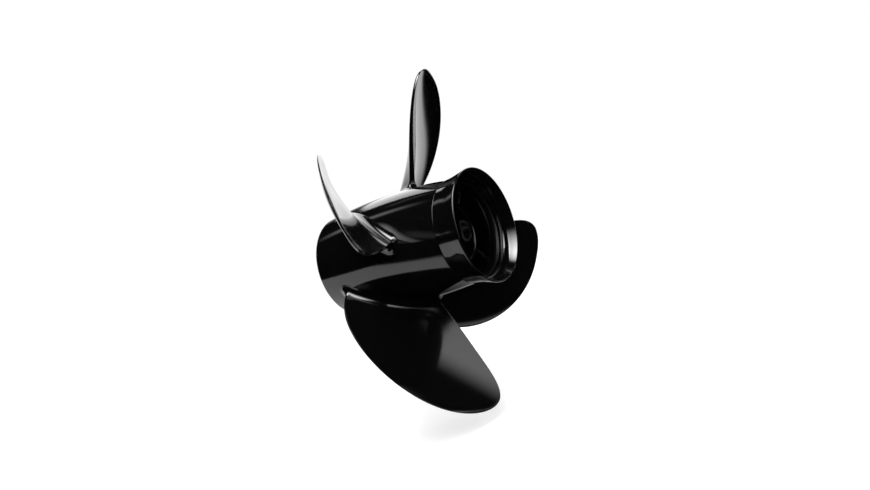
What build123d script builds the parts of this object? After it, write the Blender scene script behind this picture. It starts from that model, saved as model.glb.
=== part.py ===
from build123d import *
import os
from math import atan, cos, pi, sin

# A right-hand, four-blade outboard propeller with through-hub exhaust, in millimetres.
# The shaft axis is Y. +Y points forward, to the gearcase, and +Z is up.
# The origin is on the shaft axis, where the conical shaft seat ends and the plain bore begins.
# Stations are distances aft of the origin, so a station s lies at Y = -s.

# Blades
DIAMETER = 355.6
BLADE_COUNT = 4
FIRST_BLADE_DEG = 45.0          # from +X towards +Z
BLADE_STATION = 51.0            # reference plane of the blades
LAW_RADIUS = 48.7               # where the blade laws start, inside the hub shell
ROOT_PITCH = 484.0
TIP_PITCH = 410.0
ROOT_CHORD = 85.3
CHORD_GROWTH = 190.8
CHORD_SWELL = 18.7
RAKE = 53.7                     # how far aft the tip leans
RAKE_BEND = 0.6                 # share of the rake that grows with the square of the radius
SKEW = (34.1, -30.0, 61.5)      # sweep of the mid-chord line along the helix
CAMBER = 0.008                  # of the chord
ROOT_THICKNESS = 10.7
TIP_THICKNESS = 4.8
LEADING_EDGE = 2.0              # thickness there
TRAILING_EDGE = 4.0             # the trailing edge is blunt
ROOT_FLARE = 3.0                # extra half thickness where a blade meets the hub
ROOT_FLARE_HEIGHT = 10.0

# Hub shell
HUB_OVERHANG = 10.6             # shell ahead of the origin
SHELL_LENGTH = 153.0
SHELL_FRONT_RADIUS = 54.2
SHELL_BULGE = 4.85              # middle of the shell over the straight line between its ends
SHELL_REAR_RADIUS = 53.6
SHELL_WALL = 5.0
FRONT_CHAMFER = 1.4
SPIGOT_LENGTH = 9.0
SPIGOT_WALL = 2.6

# Diffuser ring
RING_LENGTH = 26.0
RING_STEP = 0.3                 # ring over the shell at the seam
RIM_STEP = 0.65                 # rim under the widest part of the shell
NECK = (0.1, 0.2)               # end of the plain neck, in shares of the ring's rise and length
BEND = (0.45, 0.5)              # steepest place of the flare, in the same shares
RIM_WALL = 1.6
LEDGE_DEPTH = 11.5              # from the rim to the ledge inside
LEDGE_STEP = 1.8                # the ledge's edge under the shell's skin

# Inner barrel
BARREL_FRONT_STATION = -3.0
BARREL_LENGTH = 138.4
BARREL_FRONT_RADIUS = 35.0
BARREL_REAR_RADIUS = 33.3
BARREL_LIP = 2.0                # rounding of the rear lip
BUSHING_BORE_RADIUS = 27.5
NUT_CHAMBER_RADIUS = 27.0
SHOULDER_STATION = 85.0
SHOULDER_THICKNESS = 6.0

# Ribs between barrel and shell
RIB_WAIST = 4.6
RIB_INNER_SPREAD = 16.0         # width of its outline half-way into the barrel
RIB_OUTER_SPREAD = 12.0         # width of its outline at the shell's skin
RIB_SETBACK = 3.5               # ribs start this far behind the barrel's front

# Hub kit
SHAFT_RADIUS = 12.7
SHAFT_CLEARANCE = 0.15
SPLINE_TEETH = 15
SPLINE_MINOR_RADIUS = 11.4
SPLINE_GROOVE_WIDTH = 2.7
THREAD_RADIUS = 8.7
STUD_CLEARANCE_RADIUS = 9.8
THRUST_WASHER_RADIUS = 24.0
THRUST_WASHER_BORE = 8.0        # length of its plain bore
SEAT_RADIUS = 17.5              # mouth of the conical shaft seat
SEAT_DEPTH = 5.0
ADAPTER_RADIUS = 17.0
ADAPTER_PILOT = 8.0
BUSHING_LENGTH = 72.0
BUSHING_CHAMFER = 2.0
RUNNING_CLEARANCE = 0.05
AXIAL_CLEARANCE = 0.3
REAR_WASHER_RADIUS = 23.5
REAR_WASHER_THICKNESS = 4.0
TAB_WASHER_RADIUS = 20.0
TAB_WASHER_THICKNESS = 1.6
TAB_WIDTH = 7.0
TAB_HEIGHT = 6.0
NUT_FLATS = 27.0
NUT_HEIGHT = 12.0
NUT_CHAMFER = 1.5
COLLAR_RADIUS = 12.4
COLLAR_HEIGHT = 4.5
INSERT_RADIUS = 10.8
INSERT_BORE_RADIUS = 9.0
INSERT_HEIGHT = 3.0

# Stations that the sizes above lead to
TIP_RADIUS = DIAMETER / 2
SHELL_FRONT = -HUB_OVERHANG
SEAM = SHELL_FRONT + SHELL_LENGTH
SPIGOT_END = SEAM + SPIGOT_LENGTH
RIM = SEAM + RING_LENGTH
LEDGE = RIM - LEDGE_DEPTH
BARREL_REAR = BARREL_FRONT_STATION + BARREL_LENGTH
SHOULDER_REAR = SHOULDER_STATION + SHOULDER_THICKNESS
SHAFT_BORE_RADIUS = SHAFT_RADIUS + SHAFT_CLEARANCE
ADAPTER_FRONT = THRUST_WASHER_BORE
REAR_WASHER_FRONT = SHOULDER_REAR + AXIAL_CLEARANCE
ADAPTER_LENGTH = REAR_WASHER_FRONT - ADAPTER_FRONT
TAB_WASHER_FRONT = REAR_WASHER_FRONT + REAR_WASHER_THICKNESS
NUT_FRONT = TAB_WASHER_FRONT + TAB_WASHER_THICKNESS
COLLAR_FRONT = NUT_FRONT + NUT_HEIGHT
COLLAR_REAR = COLLAR_FRONT + COLLAR_HEIGHT
BUSHING_FRONT = SHOULDER_STATION - AXIAL_CLEARANCE - BUSHING_LENGTH
SPIGOT_RADIUS = SHELL_REAR_RADIUS - SHELL_WALL + SPIGOT_WALL
SHELL_MIDDLE_RADIUS = (SHELL_FRONT_RADIUS + SHELL_REAR_RADIUS) / 2 + SHELL_BULGE
RING_FRONT_RADIUS = SHELL_REAR_RADIUS + RING_STEP
RIM_RADIUS = SHELL_MIDDLE_RADIUS - RIM_STEP
LEDGE_RADIUS = SHELL_REAR_RADIUS - LEDGE_STEP

# How finely the blade's faces and outline are sampled
SPAN_STEPS = 20
CHORD_STEPS = 20
OUTLINE_STEPS = 12
SIDE_OVERRUN = 1.16             # the faces run this share of the half chord to each side
TIP_OVERRUN = 6.0


def turned(half_section):
    """Revolve a closed half section, a list of lines and arcs in (radius, station), about the shaft axis."""
    return revolve(make_face(Wire(half_section)), Axis.Y)


def at(radius, station):
    """A point of a half section."""
    return Vector(radius, -station, 0)


def line(*stops):
    """Straight edges through the given (radius, station) stops."""
    return [Edge.make_line(at(*a), at(*b)) for a, b in zip(stops, stops[1:])]


def arc(start, middle, end):
    """A circular edge through three (radius, station) stops."""
    return [Edge.make_three_point_arc(at(*start), at(*middle), at(*end))]


def arc_on(start, along, end):
    """A circular edge that leaves its start along the given direction."""
    return [Edge.make_tangent_arc(at(*start), along, at(*end))]


def rod(radius, front, rear):
    """A solid cylinder on the shaft axis between two stations."""
    disc = Plane.XZ * Circle(radius)
    return Pos(0, -front, 0) * extrude(disc, rear - front)


def tube(outer, inner, front, rear):
    """A plain ring on the shaft axis between two stations."""
    return rod(outer, front, rear) - rod(inner, front, rear)


# ---------------------------------------------------------------- hub casting

def shell_arc(inset):
    """Ends and middle of the shell's bulged skin, moved in by the inset."""
    front = SHELL_FRONT
    rear = SEAM
    return (
        (SHELL_FRONT_RADIUS - inset, front),
        (SHELL_MIDDLE_RADIUS - inset, (front + rear) / 2),
        (SHELL_REAR_RADIUS - inset, rear),
    )


def hub_shell():
    """The bulged outer tube, with a chamfered front lip and a spigot for the ring behind it."""
    front, middle, rear = shell_arc(0)
    in_front, in_middle, in_rear = shell_arc(SHELL_WALL)
    outside = arc(front, middle, rear)
    spigot = line(
        rear,
        (SPIGOT_RADIUS, SEAM),
        (SPIGOT_RADIUS, SPIGOT_END),
        (in_rear[0], SPIGOT_END),
        in_rear,
    )
    inside = arc(in_rear, in_middle, in_front)
    shell = turned(outside + spigot + inside + line(in_front, front))
    lip = shell.edges().filter_by(GeomType.CIRCLE).group_by(Axis.Y)[-1].sort_by(SortBy.RADIUS)[-1]
    return chamfer(lip, FRONT_CHAMFER)


def hub_core():
    """Everything inside the shell's outer skin, as one plug for trimming the blade roots."""
    front, middle, rear = shell_arc(0)
    return turned(arc(front, middle, rear) + line(rear, (0, SEAM), (0, SHELL_FRONT), front))


def ring_skin():
    """The ring's outside: rounded front corner, plain neck, then a flare that turns back at the rim."""
    rise = RIM_RADIUS - RING_FRONT_RADIUS
    seam = (SHELL_REAR_RADIUS, SEAM)
    round_off = RING_STEP * cos(pi / 4)
    corner = (SHELL_REAR_RADIUS + round_off, SEAM + RING_STEP - round_off)
    front = (RING_FRONT_RADIUS, SEAM + RING_STEP)
    neck = (RING_FRONT_RADIUS + rise * NECK[0], SEAM + RING_LENGTH * NECK[1])
    bend = (RING_FRONT_RADIUS + rise * BEND[0], SEAM + RING_LENGTH * BEND[1])
    hollow = arc_on(neck, at(*neck) - at(*front), bend)
    crest = arc_on(bend, hollow[0] % 1, (RIM_RADIUS, RIM))
    return arc(seam, corner, front) + line(front, neck) + hollow + crest


def diffuser_ring():
    """The flared ring pressed on the spigot: thin rim, inner flare and a ledge behind the spigot."""
    bore = SHELL_REAR_RADIUS - SHELL_WALL
    rim_nose = (RIM_RADIUS - RIM_WALL / 2, RIM + RIM_WALL / 2)
    rim = arc((RIM_RADIUS, RIM), rim_nose, (RIM_RADIUS - RIM_WALL, RIM))
    inside = line(
        (RIM_RADIUS - RIM_WALL, RIM),
        (LEDGE_RADIUS, LEDGE),
        (bore, LEDGE),
        (bore, SPIGOT_END),
        (SPIGOT_RADIUS, SPIGOT_END),
        (SPIGOT_RADIUS, SEAM),
        (SHELL_REAR_RADIUS, SEAM),
    )
    return turned(ring_skin() + rim + inside)


def inner_barrel():
    """The tapered inner tube: bushing bore from the front, thrust shoulder, nut chamber at the rear."""
    front_face = (BARREL_FRONT_RADIUS, BARREL_FRONT_STATION)
    rear_face = (BARREL_REAR_RADIUS, BARREL_REAR)
    neck = ADAPTER_RADIUS + AXIAL_CLEARANCE
    barrel = turned(line(
        front_face,
        rear_face,
        (NUT_CHAMBER_RADIUS, BARREL_REAR),
        (NUT_CHAMBER_RADIUS, SHOULDER_REAR),
        (neck, SHOULDER_REAR),
        (neck, SHOULDER_STATION),
        (BUSHING_BORE_RADIUS, SHOULDER_STATION),
        (BUSHING_BORE_RADIUS, BARREL_FRONT_STATION),
        front_face,
    ))
    lip = barrel.edges().filter_by(GeomType.CIRCLE).group_by(Axis.Y)[0]
    return fillet(lip, BARREL_LIP)


def passage():
    """The whole annular space between barrel and shell over the length of the ribs."""
    start = BARREL_FRONT_STATION + RIB_SETBACK
    front, middle, rear = shell_arc(SHELL_WALL)
    skin = turned(arc(front, middle, rear) + line(rear, (0, rear[1]), (0, front[1]), front))
    barrel = turned(line(
        (BARREL_FRONT_RADIUS, BARREL_FRONT_STATION),
        (BARREL_REAR_RADIUS, BARREL_REAR),
        (0, BARREL_REAR),
        (0, BARREL_FRONT_STATION),
        (BARREL_FRONT_RADIUS, BARREL_FRONT_STATION),
    ))
    return skin & rod(TIP_RADIUS, start, BARREL_REAR - BARREL_LIP) - barrel


def rib(space, angle):
    """A waisted web across the passage, thick at both feet like a cast rib."""
    low = BARREL_REAR_RADIUS / 2
    high = SHELL_MIDDLE_RADIUS
    middle = (BARREL_REAR_RADIUS + SHELL_FRONT_RADIUS) / 2
    inner = RIB_INNER_SPREAD / 2
    outer = RIB_OUTER_SPREAD / 2
    right = ThreePointArc((low, inner), (middle, RIB_WAIST / 2), (high, outer))
    left = ThreePointArc((high, -outer), (middle, -RIB_WAIST / 2), (low, -inner))
    web = make_face(right + Line(right @ 1, left @ 0) + left + Line(left @ 1, right @ 0))
    bar = Pos(0, HUB_OVERHANG, 0) * extrude(Plane.XZ * web, SHELL_LENGTH)
    return space & Rot(0, -angle, 0) * bar


# ---------------------------------------------------------------- blades

def blade_radius(w):
    """Radius at span parameter w: the sine packs sections towards the tip."""
    return LAW_RADIUS + (TIP_RADIUS - LAW_RADIUS) * sin(pi / 2 * w)


def blade_point(w, u, side=0.0, extra_radius=0.0):
    """A point of the blade that stands along +Z.

    w runs from root 0 to tip 1, u from leading edge -1 to trailing edge +1. The mid-chord line is
    swept along a helix and raked aft, the chord lies on a helix of the local pitch, and side
    steps off it by half the thickness: +1 on the pressure face, -1 on the suction face.
    """
    radius = blade_radius(w) + extra_radius
    span = (blade_radius(w) - LAW_RADIUS) / (TIP_RADIUS - LAW_RADIUS)
    pitch = ROOT_PITCH + (TIP_PITCH - ROOT_PITCH) * span
    slope = atan(pitch / (2 * pi * radius))
    chord = cos(pi / 2 * w) * (ROOT_CHORD + CHORD_GROWTH * w + CHORD_SWELL * w**2)
    skew = sum(part * span ** (i + 1) for i, part in enumerate(SKEW))
    rake = RAKE * ((1 - RAKE_BEND) * span + RAKE_BEND * span**2)
    inside = max(0.0, 1 - u * u)
    aft_share = min(1.0, max(0.0, (1 + u) / 2))
    edge = LEADING_EDGE + (TRAILING_EDGE - LEADING_EDGE) * aft_share
    middle = ROOT_THICKNESS + (TIP_THICKNESS - ROOT_THICKNESS) * span
    crown = edge + (middle - edge) * inside**2
    root = max(0.0, 1 - (radius - SHELL_MIDDLE_RADIUS) / ROOT_FLARE_HEIGHT)
    along = skew + u * chord / 2
    off = side * (crown / 2 + ROOT_FLARE * root**2) - CAMBER * chord * inside
    turn = (along * cos(slope) - off * sin(slope)) / radius
    station = BLADE_STATION + rake + along * sin(slope) + off * cos(slope)
    return Vector(-radius * sin(turn), -station, radius * cos(turn))


def blade_slab():
    """The blade's two faces, carried past its outline on all sides and closed into a solid."""
    spans = [i / SPAN_STEPS for i in range(SPAN_STEPS - 1)]
    across = [SIDE_OVERRUN * (2 * i / CHORD_STEPS - 1) for i in range(CHORD_STEPS + 1)]
    faces = []
    for side in (-1, 1):
        rows = [[blade_point(w, u, side) for u in across] for w in spans]
        rows.append([blade_point(spans[-1], u, side, TIP_OVERRUN) for u in across])
        faces.append(Face.make_surface_from_array_of_points(rows, tol=0.02, min_deg=3, max_deg=6))
    walls = [Face.make_surface_from_curves(a, b) for a, b in zip(faces[0].edges(), faces[1].edges())]
    return Solid(Shell(faces + walls))


def blade_outline():
    """The blade seen along the shaft: leading edge, rounded tip and trailing edge in one spline."""
    steps = [i / OUTLINE_STEPS for i in range(OUTLINE_STEPS + 1)]
    edge = [blade_point(w, -1) for w in steps] + [blade_point(w, 1) for w in reversed(steps[:-1])]
    flat = [Vector(p.X, 0, p.Z) for p in edge]
    rim = Edge.make_spline(flat)
    base = Edge.make_line(flat[-1], flat[0])
    return make_face(Wire([rim, base]))


def blade():
    """One blade standing along +Z, its root cut to the hub's skin."""
    prism = extrude(blade_outline(), DIAMETER, both=True)
    body = Part() + blade_slab() & prism
    return body - hub_core()


# ---------------------------------------------------------------- hub kit

def thrust_washer():
    """The forward thrust washer, with the cone that seats on the shaft's taper."""
    return turned(line(
        (SEAT_RADIUS, -SEAT_DEPTH),
        (SHAFT_BORE_RADIUS, 0),
        (SHAFT_BORE_RADIUS, THRUST_WASHER_BORE),
        (THRUST_WASHER_RADIUS, THRUST_WASHER_BORE),
        (THRUST_WASHER_RADIUS, -SEAT_DEPTH),
        (SEAT_RADIUS, -SEAT_DEPTH),
    ))


def drive_adapter():
    """The splined sleeve on the shaft: full-length splines between two plain pilots."""
    rear = ADAPTER_FRONT + ADAPTER_LENGTH
    groove_depth = SHAFT_BORE_RADIUS - SPLINE_MINOR_RADIUS
    groove = Rectangle(2 * groove_depth, SPLINE_GROOVE_WIDTH)
    grooves = PolarLocations(SPLINE_MINOR_RADIUS, SPLINE_TEETH) * groove
    bore = Circle(SPLINE_MINOR_RADIUS) + grooves
    ring = Circle(ADAPTER_RADIUS) - bore
    body = Pos(0, -ADAPTER_FRONT, 0) * extrude(Plane.XZ * ring, ADAPTER_LENGTH)
    return body - rod(SHAFT_BORE_RADIUS, ADAPTER_FRONT, ADAPTER_FRONT + ADAPTER_PILOT)


def hub_bushing():
    """The cushion between adapter and barrel, free to shear round the adapter."""
    radius = BUSHING_BORE_RADIUS - RUNNING_CLEARANCE
    body = tube(radius, ADAPTER_RADIUS, BUSHING_FRONT, BUSHING_FRONT + BUSHING_LENGTH)
    rims = body.edges().filter_by(GeomType.CIRCLE).group_by(SortBy.RADIUS)[-1]
    return chamfer(rims, BUSHING_CHAMFER)


def rear_washer():
    """The flat washer that carries reverse thrust from the barrel's shoulder."""
    return tube(REAR_WASHER_RADIUS, STUD_CLEARANCE_RADIUS, REAR_WASHER_FRONT, TAB_WASHER_FRONT)


def tab_washer():
    """The locking washer, with two tabs bent back along opposite flats of the nut."""
    disc = tube(TAB_WASHER_RADIUS, STUD_CLEARANCE_RADIUS, TAB_WASHER_FRONT, NUT_FRONT)
    tab = Box(TAB_WIDTH, TAB_HEIGHT + TAB_WASHER_THICKNESS, TAB_WASHER_THICKNESS)
    reach = NUT_FLATS / 2 + TAB_WASHER_THICKNESS / 2
    middle = TAB_WASHER_FRONT + (TAB_HEIGHT + TAB_WASHER_THICKNESS) / 2
    for side in (-1, 1):
        disc += Pos(0, -middle, side * reach) * tab
    return disc


def propeller_nut():
    """The hexagon nut with a round collar round its locking insert."""
    hexagon = RegularPolygon(NUT_FLATS / 2, 6, major_radius=False)
    body = Pos(0, -NUT_FRONT, 0) * extrude(Plane.XZ * hexagon, NUT_HEIGHT)
    body += rod(COLLAR_RADIUS, COLLAR_FRONT, COLLAR_REAR)
    body -= rod(THREAD_RADIUS, NUT_FRONT, COLLAR_REAR)
    return body - rod(INSERT_RADIUS, COLLAR_REAR - INSERT_HEIGHT, COLLAR_REAR)


def locking_insert():
    """The ring that grips the thread, held in the nut's collar."""
    return tube(INSERT_RADIUS, INSERT_BORE_RADIUS, COLLAR_REAR - INSERT_HEIGHT, COLLAR_REAR)


def model():
    """Every piece by its node name."""
    pieces = {
        "hub_shell": hub_shell(),
        "inner_barrel": inner_barrel(),
        "diffuser_ring": diffuser_ring(),
        "thrust_washer": thrust_washer(),
        "drive_adapter": drive_adapter(),
        "hub_bushing": hub_bushing(),
        "rear_washer": rear_washer(),
        "tab_washer": tab_washer(),
        "propeller_nut": propeller_nut(),
        "locking_insert": locking_insert(),
    }
    one_blade = blade()
    space = passage()
    for i in range(BLADE_COUNT):
        angle = FIRST_BLADE_DEG + 360 / BLADE_COUNT * i
        pieces[f"blade_{i + 1}"] = Rot(0, 90 - angle, 0) * one_blade
        pieces[f"rib_{i + 1}"] = rib(space, angle)
    return pieces


os.makedirs("parts", exist_ok=True)
for name, piece in model().items():
    export_step(piece, f"parts/{name}.step")
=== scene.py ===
"""Looks of an outboard propeller: gloss black casting, flared diffuser ring and the splined hub kit.

Everything is in metres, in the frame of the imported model: the shaft axis is Y, +Y is forward and
+Z is up. A station is a distance aft of the origin, so station s lies at Y = -s.
"""
from math import cos, pi, radians, sin

import bpy
import numpy as np
from mathutils import Matrix, Quaternion, Vector


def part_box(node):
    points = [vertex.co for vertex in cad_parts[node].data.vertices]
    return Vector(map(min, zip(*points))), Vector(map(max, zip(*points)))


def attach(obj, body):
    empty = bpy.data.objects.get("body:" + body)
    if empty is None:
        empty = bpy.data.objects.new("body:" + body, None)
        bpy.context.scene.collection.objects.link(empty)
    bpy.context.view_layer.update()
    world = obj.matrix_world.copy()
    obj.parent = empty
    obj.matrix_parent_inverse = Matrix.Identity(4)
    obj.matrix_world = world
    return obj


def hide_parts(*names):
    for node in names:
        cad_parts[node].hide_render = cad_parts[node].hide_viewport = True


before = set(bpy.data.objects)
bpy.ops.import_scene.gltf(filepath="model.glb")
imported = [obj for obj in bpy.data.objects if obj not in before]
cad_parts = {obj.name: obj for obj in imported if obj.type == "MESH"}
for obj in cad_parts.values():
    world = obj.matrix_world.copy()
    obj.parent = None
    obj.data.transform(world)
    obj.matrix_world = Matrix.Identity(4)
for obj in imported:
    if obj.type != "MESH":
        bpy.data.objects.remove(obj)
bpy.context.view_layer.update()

MM = 0.001


# ---------------------------------------------------------------- sizes read from the frame
def stations(node):
    """Front and rear station of a node's box."""
    low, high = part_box(node)
    return -high.y, -low.y


def outer_radius(node):
    """Half the width of a round node's box."""
    low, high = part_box(node)
    return (high.x - low.x) / 2


SHELL_FRONT, SPIGOT_END = stations("hub_shell")
SEAM = stations("diffuser_ring")[0]
BARREL_FRONT, BARREL_REAR = stations("inner_barrel")
RIB_FRONT, RIB_REAR = stations("rib_1")

# ---------------------------------------------------------------- laws shared with the construction
TIP_RADIUS = 177.8 * MM
LAW_RADIUS = 48.7 * MM          # the blade laws start here, inside the hub
BLADE_STATION = 51.0 * MM
ROOT_PITCH, TIP_PITCH = 484.0 * MM, 410.0 * MM
CHORD_TERMS = (85.3 * MM, 190.8 * MM, 18.7 * MM)
SKEW_TERMS = (34.1 * MM, -30.0 * MM, 61.5 * MM)
RAKE, RAKE_BEND = 53.7 * MM, 0.6
CAMBER = 0.008
ROOT_THICKNESS, TIP_THICKNESS = 10.7 * MM, 4.8 * MM
LEADING_EDGE = 2.0 * MM
NOSE_LENGTH = 2.4               # length of the leading edge's round, in half thicknesses
ROOT_TRAILING_EDGE, TIP_TRAILING_EDGE = 6.6 * MM, 3.2 * MM
PRESSURE_CORNER, SUCTION_CORNER = 0.5 * MM, 1.5 * MM
BLUNT_FROM, BLUNT_TO = 0.1, 0.5  # the edge turns from round to blunt over this stretch of the chord
BLUNT_TIP = 9.0 * MM            # and is round again at the tip, over this height
ROOT_FILLET = 9.0 * MM
ROOT_SINK = 0.3 * MM            # the fillet's foot goes this far into the shell
CAP_SHARE = 0.9                 # the cone that closes the root ends at this share of the radius
FIRST_BLADE = radians(45)
BLADE_COUNT = 4

FRONT_RADIUS, REAR_RADIUS, BULGE, WALL = 54.2 * MM, 53.6 * MM, 4.85 * MM, 5.0 * MM
SHELL_LIP = (1.2 * MM, 2.2 * MM)        # rounds of the front lip, inside and outside
SEAM_GAP, SEAM_DEPTH, SEAM_ROUND = 0.25 * MM, 1.2 * MM, 0.5 * MM

RING_STEP = 0.3 * MM                    # ring over the shell at the seam
NECK, BEND = (0.2, 0.26), (0.56, 0.61)  # places on the ring's flare, in shares of its rise and length
RIM_STATION, RIM_RADIUS, RIM_WALL = SEAM + 26.8 * MM, 58.6 * MM, 1.6 * MM
RIM_ROLL = (2.4 * MM, 1.3 * MM)         # the rim's outer edge rolls over: along the shaft and inwards
LEDGE_STATION = RIM_STATION - 12.7 * MM
FLARE_SLOPE, FLARE_BELLY = 0.353, 0.055  # terms of the inner flare's fall from rim to ledge
FLARE_TURN, FLARE_BREAK = 0.42, 0.55    # and of its turn towards the shaft's direction
LEDGE_BEVEL = (1.35 * MM, 0.5 * MM)     # the ledge's bevelled edge, along the shaft and inwards
LIP_RADIUS = 50.2 * MM                  # inner edge of the ledge
LEDGE_SLOPE, BORE_TAPER = 0.6 * MM, 9.0 * MM  # the lip and the bore start this far ahead of the bevel
RING_ROUND, LEDGE_ROUND, LIP_ROUND = 0.4 * MM, 0.3 * MM, 1.3 * MM

BARREL_FRONT_RADIUS, BARREL_REAR_RADIUS = 35.0 * MM, 33.3 * MM
BARREL_LIP = 1.5 * MM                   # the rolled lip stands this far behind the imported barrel
CHAMBER_RADIUS, BUSHING_BORE, NECK_RADIUS = 27.0 * MM, 27.5 * MM, 17.3 * MM
SHOULDER, SHOULDER_REAR = 85.0 * MM, 91.0 * MM
RIB_WAIST, RIB_FOOT = 4.6 * MM, 12.8 * MM
RIB_ROUND = 3.0 * MM                    # length of the round at each end of a rib
RIB_SINK = (2.5 * MM, 2.0 * MM)         # its feet go this far into the barrel and the shell

SHAFT_BORE, SPLINE_MINOR, SPLINE_GROOVE, SPLINE_TEETH = 12.85 * MM, 11.4 * MM, 2.7 * MM, 15
SPLINE_FLANK = (0.4, 0.6)               # a groove's side runs between these shares of its width
SPLINE_RUN_IN = 0.3 * MM
SEAT_RADIUS, SEAT_DEPTH, ADAPTER_PILOT = 17.5 * MM, 5.0 * MM, 8.0 * MM
BUSHING_CHAMFER = 2.0 * MM
STUD_CLEARANCE, TAB_WIDTH, TAB_CORNER = 9.8 * MM, 7.0 * MM, 2.0 * MM
NUT_FLATS, NUT_HEIGHT, NUT_CHAMFER, COLLAR_RADIUS = 27.0 * MM, 12.0 * MM, 1.7 * MM, 12.4 * MM
NUT_FACE = 0.96                         # radius of the nut's faces, in half widths across the flats
THREAD_MINOR, THREAD_MAJOR, THREAD_PITCH = 8.7 * MM, 9.5 * MM, 1.5875 * MM
INSERT_RADIUS, INSERT_BORE, INSERT_HEIGHT = 10.8 * MM, 9.0 * MM, 3.0 * MM

LATHE_STEPS, NUT_STEPS = 256, 360       # points round a turned piece
TOOTH_STEPS, THREAD_STEPS = 24, 10      # points on each spline tooth, and along each turn of thread
ARC_STEPS = 6                           # steps of the round at one corner of a profile
ROUND_LIMIT = 0.7                       # a round takes at most this share of the shorter side
GUARD, GUARD_LIMIT = 0.35, 0.2          # a guard point's distance, in radii and at most in such sides
TOUCH = 0.001 * MM                      # lengths this close count as equal
TINY = 1e-9                             # keeps a division by zero away
BLADE_GRID = (72, 14, 90)               # points along a face, then rows up the fillet and the span
FOOT_PASSES = 4


# ---------------------------------------------------------------- mesh helpers
def add_object(name, verts, faces):
    """A smooth-shaded mesh object whose faces point outwards: its signed volume is made positive."""
    verts = np.asarray(verts, float)
    mesh = bpy.data.meshes.new(name)
    mesh.from_pydata(verts.tolist(), [], [list(f) for f in faces])
    mesh.update()
    corners = np.zeros(len(mesh.loops), int)
    mesh.loops.foreach_get("vertex_index", corners)
    mesh.calc_loop_triangles()
    tris = np.zeros(len(mesh.loop_triangles) * 3, int)
    mesh.loop_triangles.foreach_get("vertices", tris)
    a, b, c = (verts[tris[i::3]] for i in range(3))
    if np.einsum("ij,ij->i", a, np.cross(b, c)).sum() < 0:
        mesh.flip_normals()
    mesh.shade_smooth()
    obj = bpy.data.objects.new(name, mesh)
    bpy.context.scene.collection.objects.link(obj)
    return obj


def grid_faces(rows, cols, wrap_rows=False, wrap_cols=False):
    """Quads of a rows x cols grid of vertices, joined end to end where it wraps."""
    i = np.arange(rows if wrap_rows else rows - 1)[:, None]
    j = np.arange(cols if wrap_cols else cols - 1)[None, :]
    i2, j2 = (i + 1) % rows, (j + 1) % cols
    return np.stack([i * cols + j, i * cols + j2, i2 * cols + j2, i2 * cols + j], -1).reshape(-1, 4)


def tube(rows):
    """Vertices and faces of a closed skin: a loop of points in each row, and a face on each end."""
    count, cols = rows.shape[:2]
    last = (count - 1) * cols
    faces = [tuple(f) for f in grid_faces(count, cols, False, True)]
    faces += [tuple(range(cols)), tuple(range(last, last + cols))]
    return rows.reshape(-1, 3), faces


def sharp(points):
    """Points of a profile as corners without a round."""
    return [(*point, 0) for point in points]


def rounded(corners):
    """A closed profile through corners, each given by its two coordinates and its round's radius.

    The round at a corner is the arc that touches both sides, found from the half angle between
    them. A guard point on each side of it keeps the shading of the flat stretches flat.
    """
    pts = np.array([corner[:2] for corner in corners], float)
    out = []
    for k, (_, _, radius) in enumerate(corners):
        before, here, after = pts[k - 1], pts[k], pts[(k + 1) % len(pts)]
        if radius <= 0:
            out.append(here[None])
            continue
        a, b = before - here, after - here
        a_len, b_len = np.hypot(*a), np.hypot(*b)
        a, b = a / a_len, b / b_len
        half = np.arccos(np.clip(a @ b, -1, 1)) / 2
        reach = min(radius / np.tan(half), ROUND_LIMIT * min(a_len, b_len))
        radius = reach * np.tan(half)
        centre = here + (a + b) / np.hypot(*(a + b)) * radius / np.sin(half)
        start, end = here + a * reach - centre, here + b * reach - centre
        turn = np.arctan2(start[0] * end[1] - start[1] * end[0], start @ end)
        t = np.linspace(0, turn, ARC_STEPS + 1)[:, None]
        side = np.stack([-start[1], start[0]])
        arc = centre + start * np.cos(t) + side * np.sin(t)
        more = min(GUARD * radius, GUARD_LIMIT * min(a_len, b_len))
        out.append(np.concatenate([[arc[0] + a * more], arc, [arc[-1] + b * more]]))
    return np.concatenate(out)


def lathe(name, profile, steps=LATHE_STEPS, shape=None):
    """A closed ring: the (radius, station) profile carried round the shaft axis.

    Where a shape is given, it turns radius, station and angle into the radius there.
    """
    profile = np.asarray(profile, float)
    t = np.linspace(0, 2 * pi, steps, endpoint=False)[:, None]
    radius, station = profile[None, :, 0] + 0 * t, profile[None, :, 1] + 0 * t
    if shape:
        radius = shape(radius, station, t)
    verts = np.stack([radius * np.cos(t), -station, radius * np.sin(t)], -1)
    return add_object(name, verts.reshape(-1, 3), grid_faces(steps, len(profile), True, True))


# ---------------------------------------------------------------- hub casting
def shell_radius(station, inset=0.0):
    """Outer radius of the bulged shell: one circular arc through its front, middle and rear."""
    half = (SEAM - SHELL_FRONT) / 2
    mean, tilt = (FRONT_RADIUS + REAR_RADIUS) / 2, (REAR_RADIUS - FRONT_RADIUS) / 2
    bend = (half**2 + BULGE**2) / (2 * BULGE)
    x = station - (SEAM + SHELL_FRONT) / 2
    return mean - inset + tilt * x / half + BULGE - bend + np.sqrt(np.maximum(bend**2 - x**2, 0))


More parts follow.
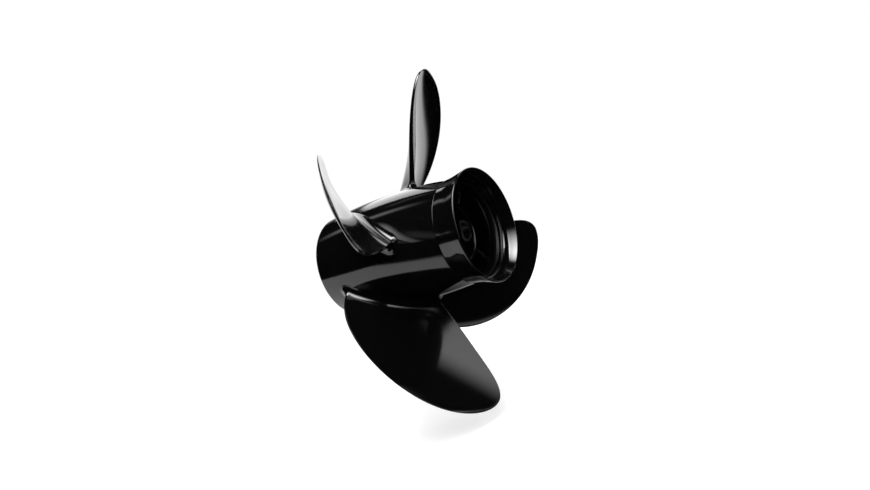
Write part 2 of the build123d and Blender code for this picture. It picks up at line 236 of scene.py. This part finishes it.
def hub_shell():
    """The bulged tube, its front lip rounded and its rear edge rolled into the seam."""
    outer_lip, inner_lip, seam_roll = 3.0 * MM, 2.5 * MM, 2.0 * MM
    outside_stops = np.linspace(SHELL_FRONT + outer_lip, SEAM - seam_roll, 60)
    inside_stops = np.linspace(SPIGOT_END, SHELL_FRONT + inner_lip, 50)
    outside = np.stack([shell_radius(outside_stops), outside_stops], 1)
    inside = np.stack([shell_radius(np.minimum(inside_stops, SEAM), WALL), inside_stops], 1)
    seam_edge, seam_floor = SEAM - SEAM_GAP, REAR_RADIUS - SEAM_DEPTH
    corners = [
        (shell_radius(SHELL_FRONT, WALL), SHELL_FRONT, SHELL_LIP[0]),
        (shell_radius(SHELL_FRONT), SHELL_FRONT, SHELL_LIP[1]),
    ]
    corners += sharp(outside)
    corners += [
        (REAR_RADIUS, seam_edge, SEAM_ROUND),
        (seam_floor, seam_edge, 0),
        (seam_floor, SPIGOT_END, 0),
    ]
    corners += sharp(inside)
    return lathe("hub_shell_skin", rounded(corners))


def tangent_arc(start, angle, end, count=12):
    """Points after start on the arc that leaves it at an angle to the shaft and reaches end.

    With the chord at angle c, the arc turns by 2 (c - angle), so it arrives at 2 c - angle.
    """
    rise, run = end[0] - start[0], end[1] - start[1]
    half = np.arctan2(rise, run) - angle
    t = half * np.linspace(0, 1, count + 1)[1:]
    distance = np.hypot(rise, run) * np.sin(t) / np.sin(half)
    radius, station = start[0] + distance * np.sin(angle + t), start[1] + distance * np.cos(angle + t)
    return np.stack([radius, station], 1), angle + 2 * half


def ring_outside(front_radius):
    """The ring's outside from the end of its plain neck: a hollow arc, a crest and the rolled rim.

    The last stretch of the crest sinks along a quarter ellipse, as long and as deep as the roll.
    """
    rise, length = RIM_RADIUS - front_radius, RIM_STATION - SEAM
    neck = (front_radius + rise * NECK[0], SEAM + length * NECK[1])
    bend = (front_radius + rise * BEND[0], SEAM + length * BEND[1])
    neck_angle = np.arctan2(neck[0] - front_radius, neck[1] - SEAM)
    hollow, bend_angle = tangent_arc(neck, neck_angle, bend)
    crest, _ = tangent_arc(bend, bend_angle, (RIM_RADIUS, RIM_STATION))
    whole = np.concatenate([[bend], crest])
    turn = np.linspace(0, pi / 2, 10)
    stops = RIM_STATION - RIM_ROLL[0] * (1 - np.sin(turn))
    rolled = np.interp(stops, whole[:, 1], whole[:, 0]) - RIM_ROLL[1] * (1 - np.cos(turn))
    plain = crest[crest[:, 1] < stops[0]]
    return [neck] + list(hollow) + list(plain) + list(np.stack([rolled, stops], 1))


def inner_flare():
    """The ring's inside from the rim to the ledge, at a depth of t D with t up to 1.

    It falls by D (slope t + belly t^2), less D turn (t - break)^2 once t is past the break, so it
    bends in towards the shaft's direction before the ledge.
    """
    t = np.linspace(0.06, 1, 16)
    late = np.maximum(0, t - FLARE_BREAK)
    depth = RIM_STATION - LEDGE_STATION
    fall = FLARE_SLOPE * t + FLARE_BELLY * t**2 - FLARE_TURN * late**2
    return list(np.stack([RIM_RADIUS - RIM_WALL - depth * fall, RIM_STATION - depth * t], 1))


def diffuser_ring():
    """The flared ring, closed by its inner flare, a bevelled ledge, the lip and the bore."""
    front_radius, bore = REAR_RADIUS + RING_STEP, REAR_RADIUS - WALL
    flare = inner_flare()
    ledge_radius, bevel_station = flare[-1][0], LEDGE_STATION - LEDGE_BEVEL[0]
    corners = [(front_radius, SEAM + SEAM_GAP, RING_ROUND)]
    corners += sharp(ring_outside(front_radius))
    corners += [(RIM_RADIUS - RIM_WALL, RIM_STATION, RING_ROUND)]
    corners += sharp(flare[:-1])
    corners += [
        (ledge_radius, LEDGE_STATION, LEDGE_ROUND),
        (ledge_radius - LEDGE_BEVEL[1], bevel_station, LEDGE_ROUND),
        (LIP_RADIUS, bevel_station - LEDGE_SLOPE, LIP_ROUND),
        (bore, bevel_station - BORE_TAPER, 0),
        (bore, SEAM + SEAM_GAP, 0),
    ]
    return lathe("diffuser_ring_skin", rounded(corners))


def inner_barrel():
    """The tapered tube with its rolled rear lip, bushing bore, thrust shoulder and nut chamber."""
    lip = BARREL_REAR + BARREL_LIP
    corners = [
        (BARREL_FRONT_RADIUS, BARREL_FRONT, 2.0 * MM),
        (BARREL_REAR_RADIUS, lip, 3.3 * MM),
        (CHAMBER_RADIUS, lip, 2.4 * MM),
        (CHAMBER_RADIUS, SHOULDER_REAR, 1.5 * MM),
        (NECK_RADIUS, SHOULDER_REAR, 0.6 * MM),
        (NECK_RADIUS, SHOULDER, 0.6 * MM),
        (BUSHING_BORE, SHOULDER, 0.8 * MM),
        (BUSHING_BORE, BARREL_FRONT, 1.2 * MM),
    ]
    return lathe("inner_barrel_skin", rounded(corners))


def rib(number, angle):
    """A web across the passage: thick at both feet like a cast rib, its ends rounded over.

    With v from -1 at the barrel to 1 at the shell, the half thickness is waist + (foot - waist)
    |v|^3, and towards each end it shrinks along a quarter circle to a narrow flat.
    """
    half_cols, flat_share = 28, 0.02
    ease_in = RIB_ROUND * (1 - np.cos(np.linspace(0, pi / 2, 9)))
    middle = np.linspace(RIB_FRONT + RIB_ROUND, RIB_REAR - RIB_ROUND, 44)
    station = np.concatenate([RIB_FRONT + ease_in[:-1], middle, RIB_REAR - ease_in[-2::-1]])[:, None]
    from_end = np.clip(np.minimum(station - RIB_FRONT, RIB_REAR - station) / RIB_ROUND, 0, 1)
    round_over = np.sqrt(1 - (1 - from_end) ** 2)
    across = np.linspace(-1, 1, half_cols)
    v = np.concatenate([across, across[::-1]])[None, :]
    side = np.repeat([1, -1], half_cols)[None, :]
    low, high = BARREL_REAR_RADIUS - RIB_SINK[0], shell_radius(station, WALL) + RIB_SINK[1]
    radius = (low + high) / 2 + (high - low) / 2 * v
    half = RIB_WAIST / 2 + (RIB_FOOT - RIB_WAIST) / 2 * np.abs(v) ** 3
    offset = side * half * (flat_share + (1 - flat_share) * round_over)
    x = radius * cos(angle) - offset * sin(angle)
    z = radius * sin(angle) + offset * cos(angle)
    verts = np.stack([x, -station + 0 * x, z], -1)
    return add_object(f"rib_{number}_skin", *tube(verts))


# ---------------------------------------------------------------- blades
def ease(value, low, high):
    """0 below low, 1 above high, and a smooth step between them."""
    t = np.clip((value - low) / (high - low), 0, 1)
    return t * t * (3 - 2 * t)


def blade_section(radius, u, side):
    """Chordwise and thickness offsets of blade points, and the laws that place them.

    Pitch, skew, rake and thickness follow the span q from the law radius to the tip. The chord is
    a cosine of the span parameter w times a quadratic, so it closes to nothing at the tip. The
    half thickness is a crowned lens between a thin leading edge and a thick trailing one. Within
    a distance of an edge it falls along an ellipse: to nothing at the leading edge and the tip,
    and to a flat with small corners at the trailing edge.
    """
    q = np.clip((radius - LAW_RADIUS) / (TIP_RADIUS - LAW_RADIUS), 0, 1)
    w = np.arcsin(q) * 2 / pi
    slope = np.arctan((ROOT_PITCH + (TIP_PITCH - ROOT_PITCH) * q) / (2 * pi * radius))
    chord = np.cos(pi / 2 * w) * sum(term * w**k for k, term in enumerate(CHORD_TERMS))
    skew = sum(term * q ** (k + 1) for k, term in enumerate(SKEW_TERMS))
    rake = RAKE * ((1 - RAKE_BEND) * q + RAKE_BEND * q**2)
    inside = np.maximum(0, 1 - u * u)
    trailing_edge = TIP_TRAILING_EDGE + (ROOT_TRAILING_EDGE - TIP_TRAILING_EDGE) * (1 - q) ** 2
    edge = LEADING_EDGE + (trailing_edge - LEADING_EDGE) * (1 + u) / 2
    crown = edge + (ROOT_THICKNESS + (TIP_THICKNESS - ROOT_THICKNESS) * q - edge) * inside**2
    from_side = (1 - np.abs(u)) * chord / 2
    from_tip = np.maximum(TIP_RADIUS - radius, 0)
    inwards = from_side * from_tip / np.maximum(from_side + from_tip, TINY)
    half = crown / 2
    nose = half * np.sqrt(np.maximum(0, 1 - (1 - np.minimum(inwards / (NOSE_LENGTH * half), 1)) ** 2))
    corner = np.where(side > 0, PRESSURE_CORNER, SUCTION_CORNER)
    dip = 1 - np.sqrt(np.maximum(0, 1 - (1 - np.minimum(inwards / corner, 1)) ** 2))
    blunt = half - np.minimum(corner, half) * dip
    bluntness = ease(u, BLUNT_FROM, BLUNT_TO) * ease(from_tip, 0, BLUNT_TIP)
    along = skew + u * chord / 2
    off = side * (nose + (blunt - nose) * bluntness) - CAMBER * chord * inside
    return along, off, slope, rake


def blade(number, angle):
    """One blade with its root fillet, as a closed skin.

    Each row is a loop round the section: trailing edge to leading edge on the pressure side, back
    on the suction side and across the blunt trailing edge. Near the hub the loop is pushed
    outwards in its own plane by R - sqrt(R^2 - (R - d)^2) at height d, which is a fillet of
    radius R all round the root. The foot of each point lies on the shell at the point's own
    station, which a few passes settle.
    """
    half_cols, fillet_rows, span_rows = BLADE_GRID
    theta = np.linspace(0, pi, half_cols)
    across = np.array([-0.94, -0.5, 0.0, 0.5, 0.94])
    u = np.concatenate([np.cos(theta), -np.cos(theta[1:]), np.ones(len(across))])[None, :]
    side = np.concatenate([np.ones(half_cols), -np.ones(half_cols - 1), across])[None, :]
    cols = u.shape[1]
    bend = np.linspace(0, pi / 2, fillet_rows)[:, None]
    height = np.concatenate([ROOT_FILLET * (1 - np.cos(bend)), np.full((span_rows, 1), ROOT_FILLET)])
    push = np.concatenate([ROOT_FILLET * (1 - np.sin(bend)), np.zeros((span_rows, 1))])
    share = np.sin(pi / 2 * np.linspace(0, 1, span_rows + 1)[1:])
    share = np.concatenate([np.zeros(fillet_rows), share])[:, None]
    foot = shell_radius(np.full((1, cols), BLADE_STATION))
    for _ in range(FOOT_PASSES):
        radius = foot + height + (TIP_RADIUS - foot - height) * share
        along, off, slope, rake = blade_section(radius, u, side)
        loop = np.stack([along + 0 * off, off], -1)
        tangent = np.roll(loop, -1, 1) - np.roll(loop, 1, 1)
        tangent /= np.maximum(np.linalg.norm(tangent, axis=-1, keepdims=True), TINY * MM)
        normal = np.stack([tangent[..., 1], -tangent[..., 0]], -1)
        pushed = loop + normal * push[..., None]
        station = BLADE_STATION + rake + pushed[..., 0] * np.sin(slope) + pushed[..., 1] * np.cos(slope)
        foot = shell_radius(np.clip(station, SHELL_FRONT, SEAM))
    turn = angle + (pushed[..., 0] * np.cos(slope) - pushed[..., 1] * np.sin(slope)) / radius
    radius[0] -= ROOT_SINK
    verts = np.stack([radius * np.cos(turn), -station, radius * np.sin(turn)], -1)
    rows = verts.shape[0]
    tip = verts[-1].mean(0)
    root = verts[0].mean(0) * (CAP_SHARE, 1, CAP_SHARE)
    points = np.concatenate([verts[:-1].reshape(-1, 3), [tip, root]])
    faces = [tuple(f) for f in grid_faces(rows - 1, cols, False, True)]
    last, tip_at, root_at = (rows - 2) * cols, (rows - 1) * cols, (rows - 1) * cols + 1
    for k in range(cols):
        following = (k + 1) % cols
        faces.append((last + k, last + following, tip_at))
        faces.append((following, k, root_at))
    return add_object(f"blade_{number}_skin", points, faces)


# ---------------------------------------------------------------- hub kit
def thrust_washer():
    """The forward thrust washer, with its conical seat for the shaft's taper."""
    front, rear = stations("thrust_washer")
    outer = outer_radius("thrust_washer")
    corners = [
        (SEAT_RADIUS, front, 0.5 * MM),
        (SHAFT_BORE, front + SEAT_DEPTH, 0.4 * MM),
        (SHAFT_BORE, rear, 0.5 * MM),
        (outer, rear, 0.8 * MM),
        (outer, front, 0.8 * MM),
    ]
    return lathe("thrust_washer_skin", rounded(corners))


def drive_adapter():
    """The splined sleeve: a plain pilot in front, then straight splines to the rear end."""
    front, rear = stations("drive_adapter")
    outer, pilot_end = outer_radius("drive_adapter"), front + ADAPTER_PILOT
    corners = [
        (SPLINE_MINOR, rear, 0.5 * MM),
        (outer, rear, 0.7 * MM),
        (outer, front, 0.7 * MM),
        (SHAFT_BORE, front, 0.6 * MM),
        (SHAFT_BORE, pilot_end, 0.1 * MM),
        (SPLINE_MINOR, pilot_end + SPLINE_RUN_IN, 0.3 * MM),
    ]

    def splined(radius, station, turn):
        """Grooves of even depth with sloped sides, cut wherever the bore is smaller than them."""
        pitch = 2 * pi / SPLINE_TEETH
        off_centre = np.abs((turn / pitch + 0.5) % 1 - 0.5) * pitch * SHAFT_BORE
        low, high = (share * SPLINE_GROOVE for share in SPLINE_FLANK)
        cut = SHAFT_BORE - (SHAFT_BORE - SPLINE_MINOR) * ease(off_centre, low, high)
        return np.maximum(radius, cut)

    return lathe("drive_adapter_skin", rounded(corners), TOOTH_STEPS * SPLINE_TEETH, splined)


def hub_bushing():
    """The moulded cushion, bonded to the adapter and chamfered at both ends."""
    front, rear = stations("hub_bushing")
    outer, bore = outer_radius("hub_bushing"), outer_radius("drive_adapter")
    bond, soft = 0.3 * MM, 0.8 * MM
    corners = [
        (bore, front, bond),
        (bore, rear, bond),
        (outer - BUSHING_CHAMFER, rear, soft),
        (outer, rear - BUSHING_CHAMFER, soft),
        (outer, front + BUSHING_CHAMFER, soft),
        (outer - BUSHING_CHAMFER, front, soft),
    ]
    return lathe("hub_bushing_skin", rounded(corners))


def washer_profile(outer, front, rear, inner_round, outer_round):
    """The section of a flat washer with broken edges, which clears the shaft's stud."""
    corners = [
        (STUD_CLEARANCE, front, inner_round),
        (STUD_CLEARANCE, rear, inner_round),
        (outer, rear, outer_round),
        (outer, front, outer_round),
    ]
    return rounded(corners)


def rear_washer():
    """The thick washer that takes reverse thrust."""
    front, rear = stations("rear_washer")
    profile = washer_profile(outer_radius("rear_washer"), front, rear, 0.3 * MM, 0.5 * MM)
    return lathe("rear_washer_skin", profile)


def tab_washer():
    """The locking washer: a thin disc with two round-cornered tabs bent back along the nut."""
    front, rear = stations("tab_washer")
    disc_rear, half = stations("propeller_nut")[0], TAB_WIDTH / 2
    disc_edge, edge = 0.2 * MM, 0.25 * MM
    disc = washer_profile(outer_radius("tab_washer"), front, disc_rear, disc_edge, disc_edge)
    near, far = NUT_FLATS / 2, NUT_FLATS / 2 + disc_rear - front
    foot = disc_rear - disc_edge
    corners = [(-half, foot, 0), (half, foot, 0), (half, rear, TAB_CORNER), (-half, rear, TAB_CORNER)]
    outline = rounded(corners)
    middle = np.array([0, (disc_rear + rear) / 2])
    shrunk = middle + (outline - middle) * (1 - edge / half)
    layers = [(shrunk, near), (outline, near + edge), (outline, far - edge), (shrunk, far)]
    pieces = [lathe("tab_washer_disc", disc)]
    for side in (-1, 1):
        rows = [np.stack([o[:, 0], -o[:, 1], np.full(len(o), side * z)], 1) for o, z in layers]
        pieces.append(add_object("tab_washer_tab", *tube(np.stack(rows))))
    return pieces


def propeller_nut():
    """The hexagon nut: corners chamfered at both ends, a round collar and a cut thread."""
    front, rear = stations("propeller_nut")
    hexagon_rear = front + NUT_HEIGHT
    flat, corner, face = NUT_FLATS / 2, NUT_FLATS / 2 / cos(pi / 6), NUT_FACE * NUT_FLATS / 2
    seat = rear - INSERT_HEIGHT
    thread_rear, thread_front = seat - 0.6 * MM, front + 0.9 * MM
    stops = np.arange(thread_rear, thread_front, -THREAD_PITCH / THREAD_STEPS)
    corners = [
        (THREAD_MAJOR, front, 0.2 * MM),
        (face, front, 0.3 * MM),
        (corner, front + NUT_CHAMFER, 0),
        (corner, hexagon_rear - NUT_CHAMFER, 0),
        (face, hexagon_rear, 0.3 * MM),
        (COLLAR_RADIUS, hexagon_rear, 0.4 * MM),
        (COLLAR_RADIUS, rear, 1.0 * MM),
        (INSERT_RADIUS, rear, 0.2 * MM),
        (INSERT_RADIUS, seat, 0),
        (THREAD_MINOR, seat, 0),
    ]
    thread = np.stack([np.full(len(stops), THREAD_MINOR), stops], 1)
    profile = np.concatenate([rounded(corners), thread])

    def cut(radius, station, turn):
        """The hexagon outside; inside a helix: the radius swings once per pitch and per turn."""
        flats = flat / np.cos((turn + pi / 6) % (pi / 3) - pi / 6)
        hexed = np.where(station < hexagon_rear + TOUCH, np.minimum(radius, flats), radius)
        swing = np.abs((station / THREAD_PITCH + turn / (2 * pi)) % 1 - 0.5) * 2
        groove = THREAD_MINOR + (THREAD_MAJOR - THREAD_MINOR) * swing
        return np.where(radius < THREAD_MINOR + TOUCH, groove, hexed)

    return lathe("propeller_nut_skin", profile, NUT_STEPS, cut)


def locking_insert():
    """The plain ring that grips the thread."""
    front, rear = stations("locking_insert")
    corners = [
        (INSERT_BORE, front, 0.3 * MM),
        (INSERT_BORE, rear, 0.6 * MM),
        (INSERT_RADIUS, rear, 0.3 * MM),
        (INSERT_RADIUS, front, 0.1 * MM),
    ]
    return lathe("locking_insert_skin", rounded(corners))


# ---------------------------------------------------------------- shader maths
class Maths:
    """A socket with arithmetic: an expression on these adds its Math nodes to the material."""

    def __init__(self, tree, socket=None):
        self.tree, self.socket = tree, socket

    def node(self, kind, settings=(), **inputs):
        """Any other node: its type, its settings, then its sockets' values or links.

        A socket goes by its name, or by i and its number where names repeat.
        """
        made = self.tree.nodes.new(kind)
        for key, value in dict(settings).items():
            setattr(made, key, value)
        for key, value in inputs.items():
            numbered = key[0] == "i" and key[1:].isdigit()
            socket = made.inputs[int(key[1:]) if numbered else key]
            if isinstance(value, Maths):
                self.tree.links.new(value.socket, socket)
            else:
                socket.default_value = value
        return made

    def out(self, made, output=0):
        """One output of a node, by name or number, as a value to reckon with."""
        return Maths(self.tree, made.outputs[output])

    def _op(self, operation, a, b):
        return self.out(self.node("ShaderNodeMath", {"operation": operation}, i0=a, i1=b))

    def __add__(self, other):
        return self._op("ADD", self, other)

    def __rsub__(self, other):
        return self._op("SUBTRACT", other, self)

    def __mul__(self, other):
        return self._op("MULTIPLY", self, other)


def material(name):
    """A new material, its principled shader and a start for expressions."""
    made = bpy.data.materials.new(name)
    made.use_nodes = True
    return made, made.node_tree.nodes["Principled BSDF"], Maths(made.node_tree)


def link(value, shader, name):
    """Feeds a value to a socket of a shader."""
    value.tree.links.new(value.socket, shader.inputs[name])


def object_place(m):
    """The place of the point that is shaded, in the object's own coordinates."""
    return m.out(m.node("ShaderNodeTexCoord"), "Object")


def smooth(m, value, low, high):
    """0 below low, 1 above high, and a smooth step between them."""
    step = m.node("ShaderNodeMapRange", {"interpolation_type": "SMOOTHSTEP"}, i0=value, i1=low, i2=high)
    return m.out(step)


def length(m, vector):
    """The length of a vector."""
    return m.out(m.node("ShaderNodeVectorMath", {"operation": "LENGTH"}, i0=vector), "Value")


def noise(m, scale, detail):
    """Noise on the object's own coordinates, at so many cells per metre."""
    return m.out(m.node("ShaderNodeTexNoise", Vector=object_place(m), Scale=scale, Detail=detail))


def gloss_black():
    """Sprayed gloss enamel: near black with a faint orange peel, rougher inside the passages."""
    made, shader, m = material("gloss_black_enamel")
    shader.inputs["Base Color"].default_value = (0.002, 0.002, 0.0022, 1)
    shader.inputs["IOR"].default_value = 1.5
    gloss, wander, cast_roughness = 0.06, 0.05, 0.3
    flatten = m.node("ShaderNodeVectorMath", {"operation": "MULTIPLY"}, i0=object_place(m), i1=(1, 0, 1))
    radius = length(m, m.out(flatten))
    bore, barrel = REAR_RADIUS - WALL, BARREL_FRONT_RADIUS
    past_barrel = smooth(m, radius, barrel, barrel + MM)
    past_bore = smooth(m, radius, bore + 0.1 * MM, bore + 0.8 * MM)
    cast = past_barrel * (1 - past_bore)
    link(noise(m, 60.0, 3.0) * wander + gloss + cast * cast_roughness, shader, "Roughness")
    peel = m.node("ShaderNodeBump", Strength=0.04, Distance=0.4 * MM, Height=noise(m, 420.0, 1.0))
    link(m.out(peel), shader, "Normal")
    return made


def bare_metal(name, colour, roughness, wander):
    """Machined metal: an even colour, and a roughness that wanders a little."""
    made, shader, m = material(name)
    shader.inputs["Base Color"].default_value = (*colour, 1)
    shader.inputs["Metallic"].default_value = 1
    link(noise(m, 180.0, 4.0) * wander + roughness, shader, "Roughness")
    return made


def soft_stuff(name, colour, roughness, scale, depth):
    """Moulded rubber or nylon: a dull even colour with a fine skin."""
    made, shader, m = material(name)
    shader.inputs["Base Color"].default_value = (*colour, 1)
    shader.inputs["Roughness"].default_value = roughness
    skin = m.node("ShaderNodeBump", Strength=0.3, Distance=depth, Height=noise(m, scale, 3.0))
    link(m.out(skin), shader, "Normal")
    return made


# ---------------------------------------------------------------- build
ENAMEL = gloss_black()
BRASS = bare_metal("turned_brass", (0.71, 0.52, 0.24), 0.22, 0.16)
STAINLESS = bare_metal("stainless_steel", (0.6, 0.6, 0.61), 0.2, 0.16)
RUBBER = soft_stuff("bushing_rubber", (0.018, 0.018, 0.019), 0.62, 900.0, 0.2 * MM)
NYLON = soft_stuff("insert_nylon", (0.62, 0.6, 0.52), 0.42, 1500.0, 0.1 * MM)


def finish_piece(made, node, paint, body="propeller"):
    """Gives the skins of a piece their paint, ties them to their body and hides the CAD node that they
    stand for.
    """
    for obj in made if isinstance(made, list) else [made]:
        obj.data.materials.append(paint)
        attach(obj, body)
        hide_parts(node)


finish_piece(hub_shell(), "hub_shell", ENAMEL)
finish_piece(diffuser_ring(), "diffuser_ring", ENAMEL)
finish_piece(inner_barrel(), "inner_barrel", ENAMEL)
for n in range(BLADE_COUNT):
    turn_to = FIRST_BLADE + n * 2 * pi / BLADE_COUNT
    finish_piece(blade(n + 1, turn_to), f"blade_{n + 1}", ENAMEL)
    finish_piece(rib(n + 1, turn_to), f"rib_{n + 1}", ENAMEL)
finish_piece(drive_adapter(), "drive_adapter", BRASS, "drive_core")
finish_piece(hub_bushing(), "hub_bushing", RUBBER, "drive_core")
finish_piece(thrust_washer(), "thrust_washer", STAINLESS, "drive_core")
finish_piece(rear_washer(), "rear_washer", STAINLESS, "drive_core")
finish_piece(tab_washer(), "tab_washer", STAINLESS, "drive_core")
finish_piece(propeller_nut(), "propeller_nut", STAINLESS, "drive_core")
finish_piece(locking_insert(), "locking_insert", NYLON, "drive_core")

# ---------------------------------------------------------------- stage, light and camera
FLOOR_Z = -TIP_RADIUS - 2 * MM  # clear of the blades as they turn
FLOOR_RADIUS, FLOOR_SIDES = 2.2, 96
FLOOR_FADE = (0.54, 1.14)       # the floor that the camera sees ends softly between these radii
FLOOR_GREY, FLOOR_GLOW = 0.6, 0.7  # its paint, and the white that it adds for the camera
SHEET_EDGES = ((137, -0.269), (178, -0.098))  # the white sheet lies this way, from this far on
SHEET_BLUR, SHEET_WHITE = 0.035, 1.5
# painted shadow: the white sheet seen in reflections is darkened under the object, in place of its shadow
PAINTED_SHADOW_CENTRE, PAINTED_SHADOW_REACH = (0.06, 0.0), (0.0, 0.2)  # it is dark under the object, and clears by here
BACKDROP_SIDE = (115, 15)       # azimuth and elevation of the middle of the white backdrop
BACKDROP_EDGE = (0.26, 0.78)    # cosines of the angles from there at which it ends and is full
BACKDROP_TOP = (0.0, 0.45)      # sines of the elevations between which its top fades out
AMBIENT = 0.12
CENTRE = Vector((0.0, -0.06, 0.0))

LENS, SENSOR = 32.71, 36.0      # in mm
CAMERA_PLACE = (-0.67345, -0.54408, 0.08976)
CAMERA_BACK = (-0.83101, -0.54377, 0.11718)
CAMERA_UP = (0.28845, -0.24113, 0.92664)
CAMERA_CLIP = (0.01, 50)


def towards(azimuth, elevation):
    """Unit vector of a direction: azimuth 0 looks aft, 90 to starboard."""
    a, e = radians(azimuth), radians(elevation)
    return Vector((sin(a) * cos(e), -cos(a) * cos(e), sin(e)))


def reach_along(m, place, direction):
    """How far a place lies along a direction."""
    dot = m.node("ShaderNodeVectorMath", {"operation": "DOT_PRODUCT"}, i0=place, i1=tuple(direction))
    return m.out(dot, "Value")


def ray_kinds(m):
    """Whether a ray comes from the camera, off a gloss or through something clear."""
    path = m.node("ShaderNodeLightPath")
    return [m.out(path, f"Is {kind} Ray") for kind in ("Camera", "Glossy", "Transmission")]


def white_sheet(m, place):
    """How white the floor is in reflections: a sheet behind the object, with a painted shadow right under
    it.
    """
    sheet = 1
    for side, edge in SHEET_EDGES:
        along = reach_along(m, place, towards(side, 0))
        sheet = smooth(m, along, edge - SHEET_BLUR, edge + SHEET_BLUR) * sheet
    # painted shadow: the sheet's emission fades out towards this point under the object
    centre = (*PAINTED_SHADOW_CENTRE, FLOOR_Z)
    from_centre = m.node("ShaderNodeVectorMath", {"operation": "DISTANCE"}, i0=place, i1=centre)
    return smooth(m, m.out(from_centre, "Value"), *PAINTED_SHADOW_REACH) * sheet


def floor_material():
    """Pale paint that takes the shadow, the white sheet in reflections with its painted shadow, and a
    soft end all round.
    """
    made, shader, m = material("pale_floor")
    m.tree.nodes.remove(shader)
    seen, mirrored, through = ray_kinds(m)
    place, white = object_place(m), (1, 1, 1, 1)
    sheet = white_sheet(m, place)
    lit = m.node("ShaderNodeBsdfDiffuse", Color=(FLOOR_GREY, FLOOR_GREY, FLOOR_GREY, 1))
    glow = m.node("ShaderNodeEmission", Color=white, Strength=seen * FLOOR_GLOW)
    paint = m.node("ShaderNodeAddShader", i0=m.out(lit), i1=m.out(glow))
    mirror = m.node("ShaderNodeEmission", Color=white, Strength=sheet * SHEET_WHITE)
    look = m.node("ShaderNodeMixShader", i0=mirrored + through, i1=m.out(paint), i2=m.out(mirror))
    fade = smooth(m, length(m, place), *FLOOR_FADE) * (1 - mirrored)
    clear = m.node("ShaderNodeBsdfTransparent", Color=white)
    end = m.node("ShaderNodeMixShader", i0=fade, i1=m.out(look), i2=m.out(clear))
    link(m.out(end), m.tree.nodes["Material Output"], "Surface")
    return made


def floor():
    """A pale round floor under the object."""
    corners = []
    for k in range(FLOOR_SIDES):
        t = k * 2 * pi / FLOOR_SIDES
        corners.append((FLOOR_RADIUS * cos(t), FLOOR_RADIUS * sin(t), FLOOR_Z))
    mesh = bpy.data.meshes.new("floor")
    mesh.from_pydata(corners, [], [tuple(range(FLOOR_SIDES))])
    mesh.materials.append(floor_material())
    obj = bpy.data.objects.new("floor", mesh)
    bpy.context.scene.collection.objects.link(obj)


def world_light():
    """White to the camera; in reflections a white backdrop behind the object, elsewhere dim."""
    world = bpy.data.worlds.new("studio")
    bpy.context.scene.world = world
    world.use_nodes = True
    background = world.node_tree.nodes["Background"]
    background.inputs["Color"].default_value = (1, 1, 1, 1)
    m = Maths(world.node_tree)
    seen, mirrored, through = ray_kinds(m)
    direction = m.out(m.node("ShaderNodeTexCoord"), "Generated")
    side = smooth(m, reach_along(m, direction, towards(*BACKDROP_SIDE)), *BACKDROP_EDGE)
    height = reach_along(m, direction, (0, 0, 1))
    backdrop = side * (1 - smooth(m, height, *BACKDROP_TOP))
    strength = seen + (mirrored + through) * backdrop + (1 - seen) * AMBIENT * (1 - mirrored)
    link(strength, background, "Strength")


def softbox(name, azimuth, elevation, distance, size, radiance, fades, roll=0.0):
    """A rectangular lamp in a direction from the object, turned to face it and rolled.

    It is even in the middle and fades to nothing over a share of its width or height along each
    side: those at low azimuth, at high azimuth, at the bottom and at the top, before the roll.
    A positive roll raises the side at high azimuth.
    """
    lamp = bpy.data.lights.new(name, "AREA")
    lamp.shape = "RECTANGLE"
    lamp.size, lamp.size_y = size
    lamp.energy = radiance * pi * size[0] * size[1]
    lamp.use_nodes = True
    m = Maths(lamp.node_tree)
    across_and_up = m.out(m.node("ShaderNodeNewGeometry"), "Parametric")
    axes = m.node("ShaderNodeSeparateXYZ", i0=across_and_up)
    across, upwards = m.out(axes, "X"), m.out(axes, "Y")
    strength = 1
    for share, fade in zip((across, 1 - across, upwards, 1 - upwards), fades):
        strength = smooth(m, share, 0.0, fade) * strength
    link(strength, lamp.node_tree.nodes["Emission"], "Strength")
    obj = bpy.data.objects.new(name, lamp)
    direction = towards(azimuth, elevation)
    obj.location = CENTRE + direction * distance
    obj.rotation_mode = "QUATERNION"
    obj.rotation_quaternion = (-direction).to_track_quat("-Z", "Y") @ Quaternion((0, 0, 1), radians(roll))
    bpy.context.scene.collection.objects.link(obj)


def camera():
    """The viewpoint: astern and to port, a little above the shaft, rolled to the left."""
    data = bpy.data.cameras.new("camera")
    data.lens, data.sensor_width = LENS, SENSOR
    data.clip_start, data.clip_end = CAMERA_CLIP
    obj = bpy.data.objects.new("camera", data)
    back = Vector(CAMERA_BACK).normalized()
    right = Vector(CAMERA_UP).cross(back).normalized()
    obj.matrix_world = Matrix((right, back.cross(right), back)).transposed().to_4x4()
    obj.location = CAMERA_PLACE
    bpy.context.scene.collection.objects.link(obj)
    bpy.context.scene.camera = obj


camera()
floor()
world_light()
softbox("key", -67.5, 67.7, 1.6, (0.73, 2.76), 27.0, (0.41, 0.36, 0.76, 0.46), -8)
softbox("back_panel", 101.5, 29, 2.0, (2.13, 2.18), 2.6, (0.3, 0.04, 0.6, 0.02), -14)
softbox("panel_rim", 144, 55.5, 2.0, (0.5, 0.16), 0.3, (0.3, 0.3, 0.4, 0.4), -16)
softbox("side_panel", 1.5, 13.8, 1.5, (2.15, 0.83), 2.6, (0.35, 0.33, 0.3, 0.1), 19)
softbox("aft_panel", -37, 45.5, 1.6, (0.7, 1.4), 4.2, (0.45, 0.45, 0.4, 0.4))
softbox("front_panel", 175, 54, 2.0, (0.34, 1.2), 1.3, (0.4, 0.4, 0.35, 0.4))
bpy.context.scene.view_settings.view_transform = "Standard"
